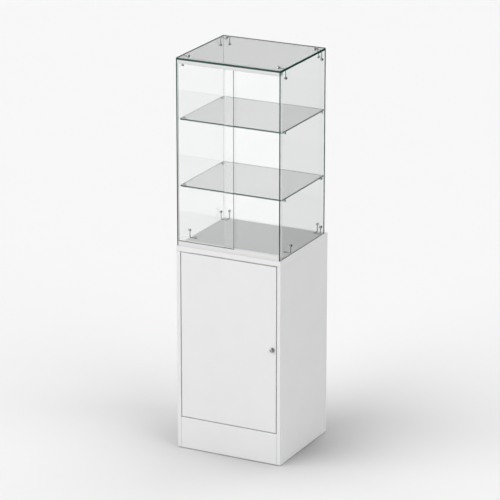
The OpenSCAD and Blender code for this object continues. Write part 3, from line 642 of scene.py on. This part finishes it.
def clip(side, rear, high):
    """A boss on the foot, and for each arm a strap and a boss at the upright pane."""
    origin, along = foot_place(side, rear, high)
    to_arm = np.array([Y_AXIS, Z_AXIS, -X_AXIS])
    work = Patchwork()
    boss(work, lambda p: placed(p, origin, along))
    for turn in arm_turns(rear):
        strap(work, lambda p: placed(p @ turn, origin, along))
        boss(work, lambda p: placed((p @ to_arm + (REACH, 0, DROP)) @ turn, origin, along))
    name = "%s_%s_%s_clip" % ("rear" if rear else "front", "right" if side > 0 else "left",
                              "top" if high else "base")
    return work.build("chromed_" + name, [CHROME], "case", [name])


for high in (True, False):
    for rear in (False, True):
        for side in (-1, 1):
            clip(side, rear, high)

# %% [markdown]
# ## Screws and studs
# The screws have domed or flat heads with a hexagon socket. A head is a stack of rings: circles
# over the dome, then hexagons down the socket, all with the same number of points.

# %% Screw heads and shanks
def dome(radius, rim, height, top_radius, steps=6):
    """A rim and then an ellipse: r = top + (radius - top) cos t, h = rim + height sin t."""
    t = np.linspace(0, np.pi / 2, steps)
    r = top_radius + (radius - top_radius) * np.cos(t)
    return [(radius - 0.15, 0), (radius, 0.15)] + list(zip(r, rim + height * np.sin(t)))


def head(work, origin, along, profile, across, depth):
    """Circles along the profile, then two hexagons: one at the mouth and one at the bottom."""
    mouth = profile[-1][1]
    socket = [at_height(hexagon(across), mouth), at_height(hexagon(across), mouth - depth)]
    work.shut(placed(stack(profile) + socket, origin, along))


def shank(work, origin, along, radius, start, end):
    """A plain rod on the screw's axis, between two heights."""
    work.shut(placed(stack([(radius, start), (radius, end)], count=24), origin, along))


print("a domed head's profile has", len(dome(5, 1, 1, 2)), "points")

# %% The screws in the upright panes
def arm_places():
    """Each clip arm's end: the pane's inner face, with local z pointing out through the pane."""
    for side in (-1, 1):
        for rear in (False, True):
            for high in (False, True):
                origin, along = foot_place(side, rear, high)
                for turn in arm_turns(rear):
                    out = np.array([Y_AXIS, Z_AXIS, X_AXIS]) @ turn @ along
                    yield np.array(origin) + np.array([REACH, 0, DROP]) @ turn @ along, out


WASHER_FACE = 5.8                # the 5 mm pane and the 0.8 mm washer on it
work = Patchwork()
profile = [(r, h + WASHER_FACE) for r, h in dome(5.25, rim=1.0, height=1.4, top_radius=2.6)]
for origin, out in arm_places():
    head(work, origin, out, profile, across=3, depth=1.7)
    shank(work, origin, out, radius=2.0, start=-4.9, end=WASHER_FACE)
work.build("pane_screw_set", [CHROME], "case", ["pane_screws"])

# %% The screws in the top pane and in the deck
UPRIGHT = np.eye(3)
TOP_WASHER_T = 0.8
work = Patchwork()
flat_head = [(6.85, TOP_WASHER_T), (7.0, 0.95), (7.0, 1.5), (6.7, 1.9), (6.2, 2.12), (5.0, 2.19),
             (2.6, 2.2)]
for x in (-FOOT_X, FOOT_X):
    for y in (TOP_FOOT_Y, REAR_FOOT_Y):
        origin = (x, y, UNDER_TOP + TOP_PANE_T)
        head(work, origin, UPRIGHT, flat_head, across=3, depth=1.1)
        shank(work, origin, UPRIGHT, radius=2.0, start=-13, end=TOP_WASHER_T)
work.build("top_pane_screws", [SATIN_CHROME], "case", ["top_foot_screws"])

work = Patchwork()
domed_head = dome(4.0, rim=0.7, height=1.3, top_radius=2.2)
for x in (-FOOT_X, FOOT_X):
    for y in (BASE_FOOT_Y, REAR_FOOT_Y):
        origin = (x, y, DECK_TOP + BOSS_L)
        head(work, origin, UPRIGHT, domed_head, across=2.5, depth=1.4)
        shank(work, origin, UPRIGHT, radius=1.95, start=-22.9, end=0)
work.build("deck_clip_screws", [SATIN_CHROME], "case", ["base_foot_screws"])

# %% [markdown]
# The shelf studs are round pins with a disc against the pane. A flat is filed on top, where the
# shelf lies. In numbers that is a turned shape whose points above the flat are brought down to it.

# %% The shelf studs
STUD_FLAT = 3.0                  # the flat's height over the stud's axis
STUD_Y = (-159.0, 160.0)
stud_profile = [(4.6, 0), (5, 0.4), (5, 1.1), (4.7, 1.5), (4.15, 1.6), (4, 1.9), (4, 10.9),
                (3.7, 11.6), (3.1, 12)]


def studs(node, name, axis_z):
    """Four studs at one height: the turned profile, with y = the lesser of y and the flat."""
    work = Patchwork()
    for side in (-1, 1):
        for y in STUD_Y:
            local = np.array(stack(stud_profile, count=40))
            local[..., 1] = np.minimum(local[..., 1], STUD_FLAT)
            along = np.array([Y_AXIS, Z_AXIS, -side * X_AXIS])
            work.shut(placed(local, (side * ARM_END, y, axis_z), along))
    return work.build(name, [SATIN_CHROME], "case", [node])


studs("upper_shelf_studs", "upper_shelf_pins", axis_z=1334)
studs("lower_shelf_studs", "lower_shelf_pins", axis_z=1068)

# %% [markdown]
# ## The lock
# A cam lock goes through the cabinet door: a collar and a threaded barrel, a nut behind the door,
# and a round knob with the key slot, which turns the cam. All of it is turned round one axis, so
# the shapes are profiles, with a screw thread as a ripple that climbs with the angle.

# %% The lock's places
LOCK = np.array([189.3, -206.0, 475.5])   # on the axis, in the door's front face
OUT = np.array([X_AXIS, Z_AXIS, -Y_AXIS])
LOOKS_IN = np.array([-X_AXIS, Z_AXIS, Y_AXIS])
COLLAR_T = 2.5
DOOR_T = 16.0
BARREL_R = 7.5
collar_face = LOCK + OUT[2] * COLLAR_T
door_back = LOCK - OUT[2] * DOOR_T
knob_base = LOCK + OUT[2] * 2.7           # 0.2 mm in front of the collar
print("the lock's collar ends at y", collar_face[1])

# %% The housing
def thread(radius, depth, pitch, start, end, count=48):
    """Rings whose radius dips by depth once a turn: r = radius - depth * |2 f - 1|, where f is
    the fractional part of height / pitch - angle / full turn."""
    h = np.arange(start, end, pitch / 6)[:, None]
    a = 2 * np.pi * np.arange(count) / count
    f = (h / pitch - a / (2 * np.pi)) % 1.0
    r = radius - depth * np.abs(2 * f - 1)
    return np.stack([r * np.cos(a), r * np.sin(a), h + 0 * a], axis=-1)


work = Patchwork()
collar = [(5.05, 0.3), (5.35, 0), (9.4, 0), (9.85, 0.2), (10, 0.6), (10, 2.3), (9.8, COLLAR_T),
          (BARREL_R, COLLAR_T), (BARREL_R, 18.3)]
barrel_end = [(7.1, 25.7), (6.8, 26), (5.05, 26), (5.05, 0.3)]
rings = stack(collar)
rings += list(thread(BARREL_R, depth=0.35, pitch=1.0, start=18.5, end=25.5))
rings += stack(barrel_end)
work.sweep(placed(rings, collar_face, LOOKS_IN))
work.build("lock_collar_and_barrel", [CHROME], "cabinet_door", ["lock_housing"])

# %% The nut, a hexagon whose corners are cut by a cone at both ends
NUT_T = 4
NUT_R = 10.5                     # from the middle to a corner
NUT_CUT_R = 9.1                  # the same, where the cone ends
work = Patchwork()
outline = hexagon(2 * NUT_R * np.cos(np.pi / 6))
reach = np.linalg.norm(outline, axis=1)
rings = stack([(7.6, 0), (8.9, 0)])
for h, limit in [(0, NUT_CUT_R), (0.8, NUT_R), (NUT_T - 0.8, NUT_R), (NUT_T, NUT_CUT_R)]:
    rings.append(at_height(outline * (np.minimum(reach, limit) / reach)[:, None], h))
rings += stack([(8.9, NUT_T), (7.6, NUT_T), (7.6, 0)])
work.sweep(placed(rings, door_back, LOOKS_IN))
work.build("lock_ring_nut", [ZINC], "cabinet_door", ["lock_nut"])

# %% The knob, with a rounded shoulder and the key slot
# Heights over the knob's base, and the radius of its neck and tail
KNOB_TOP, SLOT_FLOOR, NECK, TAIL_END, SQUARE_END = 7.3, 3.3, -0.9, -26.4, -28.2
TAIL_R = 5
work = Patchwork()
t = np.linspace(0, np.pi / 2, 10)
shoulder = list(zip(4.6 + 4.4 * np.cos(t), 3.4 + 3.9 * np.sin(t)))
knob = [(TAIL_R, NECK), (TAIL_R, 0), (8.7, 0), (9, 0.3)] + shoulder
rings = placed(stack(knob), knob_base, OUT)
key = rounded_rectangle((-0.8, -4), (0.8, 4), 0.35)
key_slot = placed([at_height(key, KNOB_TOP), at_height(key, SLOT_FLOOR)], knob_base, OUT)
work.sweep(rings)
work.lid(rings[-1], [key_slot[0]])
work.sweep(key_slot)
work.lid(key_slot[1])
tail = placed(stack([(TAIL_R, NECK), (TAIL_R, TAIL_END)]), knob_base, OUT)
work.sweep(tail)
square = rounded_rectangle((-3, -3), (3, 3), 0.4)
square = placed([at_height(square, h) for h in (TAIL_END, SQUARE_END)], knob_base, OUT)
work.lid(tail[1], [square[0]])
work.sweep(square)
work.lid(square[1])
work.build("lock_turning_knob", [CHROME], "lock_core", ["lock_knob"])

# %% [markdown]
# ## The studio
# The object stands on a wide pale floor under an even sky, with one soft key lamp from the front
# left and weaker ones from the right, from behind and from the left. The camera looks from the
# front, 27 degrees to the right and 18 degrees down, with a long lens. The floor and the
# sky look different to mirrors and glass than to matt surfaces, because metal and glass show
# their surroundings more than themselves: bright in front and on the left, dark above and on the
# right, and two soft boxes. On the floor, what mirrors see is painted light and shade, and the
# floor also has a painted shadow round the base.

# %% The camera
LENS, SENSOR = 222.34, 36
AZIMUTH, ELEVATION = np.radians([26.914, 18.230])
AIM = Vector((-0.008738, -0.004436, 0.791158))
DISTANCE = 12.0194

scene = bpy.context.scene
camera = bpy.data.objects.new("camera", bpy.data.cameras.new("camera"))
scene.collection.objects.link(camera)
camera.data.lens = LENS
camera.data.sensor_width = SENSOR
camera.data.clip_end = 400
back = Vector((np.sin(AZIMUTH) * np.cos(ELEVATION), -np.cos(AZIMUTH) * np.cos(ELEVATION),
               np.sin(ELEVATION)))
camera.location = AIM + back * DISTANCE
camera.rotation_euler = back.to_track_quat("Z", "Y").to_euler()
scene.camera = camera
scene.view_settings.view_transform = "Standard"
print("camera at", [round(c, 3) for c in camera.location])

# %% The floor
def floor_finish():
    """Matt and pale, with a painted shadow round the base: the tone
    falls by 0.6 * (1 + r ^ 2) ^ -1.4, where r is the length of (x - 0.08, 1.22 y) / 0.38 metres.
    Matt surfaces get less light back from the floor than the camera sees, and mirrors see painted
    light and shade on it: bright in front on the left and darker behind and on the right."""
    painted_shadow_depth, power, middle_x, size, squeeze, for_matt = 0.6, -1.4, 0.08, 0.38, 1.22, 0.68
    f = Finish("floor")
    path = f.add("LightPath").outputs
    place = f.add("TexCoord").outputs["Object"]
    x, y = f.add("SeparateXYZ", {0: place}).outputs[:2]
    off = f.add("VectorMath", {0: place, 1: (-middle_x, 0, 0)}, operation="ADD").outputs[0]
    off = f.add("VectorMath", {0: off, 1: (1 / size, squeeze / size, 0)},
                operation="MULTIPLY").outputs[0]
    squared = f.add("VectorMath", {0: off, 1: off}, operation="DOT_PRODUCT").outputs["Value"]
    # painted shadow round the base, taking up to 0.6 of the tone
    shade = f.math("POWER", f.math("ADD", squared, 1.0), power)
    shade = f.math("MULTIPLY_ADD", shade, -painted_shadow_depth, 1.0)
    # painted light and shade that only mirrors see: brighter in front and on the left
    ahead = f.spread(y, 1.75, 0.12, start=-2.7, end=1.5)
    across = f.spread(x, 1.0, 0.15, start=0.25, end=1.0)
    mirrored = f.math("MULTIPLY", ahead, across)
    mirror = f.math("SUBTRACT", path["Is Glossy Ray"], path["Is Transmission Ray"])
    level = f.blend(path["Is Diffuse Ray"], f.blend(mirror, 1.0, mirrored), for_matt)
    tone = f.shade(f.grain(2), (0.855, 0.855, 0.855), (0.86, 0.86, 0.86))
    tone = f.scaled(tone, f.math("MULTIPLY", level, shade))
    return f.done(f.add("BsdfDiffuse", {"Color": tone}).outputs[0])


near, far = -70, 110
mesh = bpy.data.meshes.new("floor")
mesh.from_pydata([(near, near, 0), (-near, near, 0), (-near, far, 0), (near, far, 0)], [],
                 [(0, 1, 2, 3)])
mesh.materials.append(floor_finish())
floor = bpy.data.objects.new("floor", mesh)
scene.collection.objects.link(floor)
print("the floor is", -2 * near, "by", far - near, "metres")

# %% The sky
KEY = Vector((-0.30, -0.55, 0.78)).normalized()
SIDE = Vector((-0.85, -0.38, 0.38)).normalized()
BACKDROP = 0.92                  # what the camera sees
AMBIENT = 0.15                   # what matt surfaces get

world = bpy.data.worlds.new("studio")
scene.world = world
world.use_nodes = True
sky = Finish("sky", world.node_tree)
path = sky.add("LightPath").outputs
aim = sky.add("TexCoord").outputs["Generated"]
across, _, up = sky.add("SeparateXYZ", {0: aim}).outputs
low = sky.spread(up, 0.85, 0.165, start=0.02, end=0.25)
left = sky.spread(across, 1.9, 0.25, start=-0.9, end=0.6)
walls = sky.math("MULTIPLY", low, left)
mirrored = sky.math("ADD", walls, sky.spread(up, 0.0, -0.22, start=0.4, end=0.6))
for box, strength, rim, core in ((KEY, 1.3, 0.86, 0.93), (SIDE, 2.4, 0.78, 0.92)):
    toward = sky.add("VectorMath", {0: aim, 1: box}, operation="DOT_PRODUCT").outputs["Value"]
    mirrored = sky.math("ADD", mirrored, sky.spread(toward, 0.0, strength, rim, core))
shiny = sky.math("MAXIMUM", path["Is Glossy Ray"], path["Is Transmission Ray"])
level = sky.blend(path["Is Camera Ray"], sky.blend(shiny, AMBIENT, mirrored), BACKDROP)
shown = sky.add("Background", {"Color": (1, 1, 1, 1), "Strength": level}).outputs[0]
sky.add("OutputWorld", {"Surface": shown})
print("the sky has", len(world.node_tree.nodes), "nodes")

# %% The lamps
LAMP_WIDTH = np.radians(60)


def soft_lamp(name, azimuth, elevation, share):
    """A broad lamp so far away that it lights evenly: azimuth 0 is in front, 90 to the right. A
    face square to it gets this share of white."""
    a, e = np.radians([azimuth, elevation])
    toward = Vector((np.sin(a) * np.cos(e), -np.cos(a) * np.cos(e), np.sin(e)))
    lamp = bpy.data.lights.new(name, "SUN")
    lamp.energy = np.pi * share
    lamp.angle = LAMP_WIDTH
    holder = bpy.data.objects.new(name, lamp)
    holder.rotation_euler = toward.to_track_quat("Z", "Y").to_euler()
    holder.visible_glossy = False
    holder.visible_transmission = False
    scene.collection.objects.link(holder)
    print(name, "lamp", share)


soft_lamp("front_left", -36, 35, 0.66)
soft_lamp("right", 76, 35, 0.49)
soft_lamp("behind", 165, 45, 0.30)
soft_lamp("left", -105, 45, 0.10)
